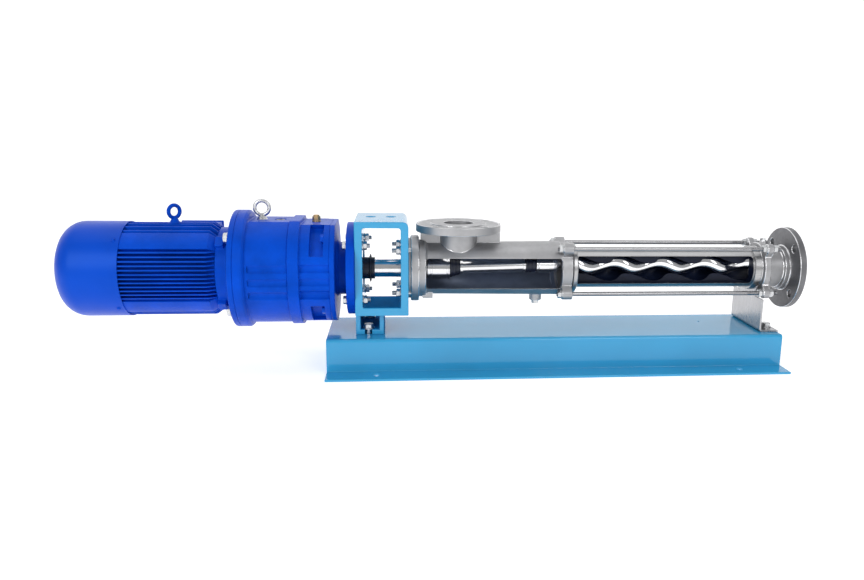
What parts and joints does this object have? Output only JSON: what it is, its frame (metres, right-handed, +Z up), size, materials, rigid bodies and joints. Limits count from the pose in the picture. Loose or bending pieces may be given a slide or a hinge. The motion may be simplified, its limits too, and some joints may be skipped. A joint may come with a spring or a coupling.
{
  "type": "progressing cavity sewage pump",
  "caption": "Progressing cavity sewage pump with an inline geared motor, cut open in front to show the coupling rod and the helical rotor in its rubber stator, on a steel base.",
  "frame": {"origin": "on the floor, at the centre of the base's four floor bolt holes", "axes": "+X along the shaft from the motor to the discharge flange, +Y away from the cut-open side, +Z up"},
  "size_m": [1.6005, 0.317, 0.359],
  "materials": {
    "blue_paint": "semi-gloss",
    "sky_paint": "gloss",
    "cast_stainless": "bead blasted",
    "bright_steel": "polished",
    "rotor_chrome": "polished",
    "tube_steel": "brushed",
    "zinc_steel": "zinc plated",
    "plug_steel": "satin",
    "machined_steel": "machined",
    "bearing_steel": "ground",
    "core_steel": "matt",
    "rotor_cage": "cast",
    "winding_copper": "lacquered",
    "fan_plastic": "matt",
    "seal_rubber": "matt",
    "stator_elastomer": "satin",
    "seal_face": "lapped",
    "breather_brass": "turned"
  },
  "bodies": {
    "pump_frame": {"fan_cowl": "blue_paint", "cowl_screws": "blue_paint", "motor_frame": "blue_paint", "motor_rear_shield": "blue_paint", "motor_front_shield": "blue_paint", "stator_core": "core_steel", "stator_windings": "winding_copper", "motor_bearings": "bearing_steel", "terminal_box": "blue_paint", "terminal_box_lid": "blue_paint", "cable_gland": "plug_steel", "motor_eyebolt": "blue_paint", "motor_flange_bolts": "zinc_steel", "gear_case_rear": "blue_paint", "gear_case_front": "blue_paint", "output_flange": "blue_paint", "gearbox_bearings": "bearing_steel", "oil_seals": "seal_rubber", "gear_eyebolt": "zinc_steel", "breather_plug": "breather_brass", "oil_plugs": "plug_steel", "case_screws": "zinc_steel", "output_flange_bolts": "zinc_steel", "lantern": "sky_paint", "lantern_studs": "zinc_steel", "foot_bolts": "zinc_steel", "base_frame": "sky_paint", "support_bracket": "tube_steel", "seal_cover": "cast_stainless", "seal_seat": "seal_face", "suction_casing": "cast_stainless", "pipe_plugs": "zinc_steel", "stator_tube": "tube_steel", "stator_rubber": "stator_elastomer", "clamp_ring": "cast_stainless", "tie_rods": "bright_steel", "tie_rod_nuts": "zinc_steel", "discharge_nozzle": "cast_stainless"},
    "motor_rotor": {"motor_shaft": "machined_steel", "rotor_core": "rotor_cage", "cooling_fan": "fan_plastic", "motor_pinion": "machined_steel"},
    "gear_layshaft": {"layshaft": "machined_steel", "first_gear": "machined_steel"},
    "output_drive": {"output_shaft": "machined_steel", "output_gear": "machined_steel", "drive_shaft": "bright_steel", "shaft_collar": "seal_rubber", "flinger_ring": "seal_rubber", "seal_ring": "seal_face", "drive_joint_head": "bright_steel", "drive_joint_pin": "machined_steel"},
    "boot_carrier": {"drive_boot": "seal_rubber", "rotor_boot": "seal_rubber", "boot_clamps": "bright_steel"},
    "rod": {"coupling_rod": "bright_steel"},
    "pump_rotor": {"rotor": "rotor_chrome", "rotor_joint_head": "bright_steel", "rotor_joint_pin": "machined_steel"}
  },
  "joints": [
    {"name": "motor_spin", "type": "hinge", "parent": "pump_frame", "child": "motor_rotor", "pos_m": [-0.85, 0, 0.21], "axis": [1, 0, 0], "continuous": true},
    {"name": "layshaft_spin", "type": "hinge", "parent": "pump_frame", "child": "gear_layshaft", "pos_m": [-0.6, 0, 0.15], "axis": [1, 0, 0], "continuous": true},
    {"name": "drive_spin", "type": "hinge", "parent": "pump_frame", "child": "output_drive", "pos_m": [-0.4, 0, 0.21], "axis": [1, 0, 0], "continuous": true},
    {"name": "orbit", "type": "hinge", "parent": "pump_frame", "child": "boot_carrier", "pos_m": [-0.15, 0, 0.21], "axis": [1, 0, 0], "continuous": true},
    {"name": "rod_spin", "type": "hinge", "parent": "boot_carrier", "child": "rod", "pos_m": [-0.264, 0, 0.21], "axis": [0.9996, 0, 0.0292], "continuous": true},
    {"name": "rotor_spin", "type": "hinge", "parent": "boot_carrier", "child": "pump_rotor", "pos_m": [0.2, 0, 0.217], "axis": [1, 0, 0], "continuous": true}
  ],
  "couplings": [
    {"joint": "layshaft_spin", "follows": "motor_spin", "ratio": -0.42857},
    {"joint": "drive_spin", "follows": "motor_spin", "ratio": 0.21429},
    {"joint": "orbit", "follows": "motor_spin", "ratio": -0.21429},
    {"joint": "rod_spin", "follows": "motor_spin", "ratio": 0.42857},
    {"joint": "rotor_spin", "follows": "motor_spin", "ratio": 0.42857}
  ]
}
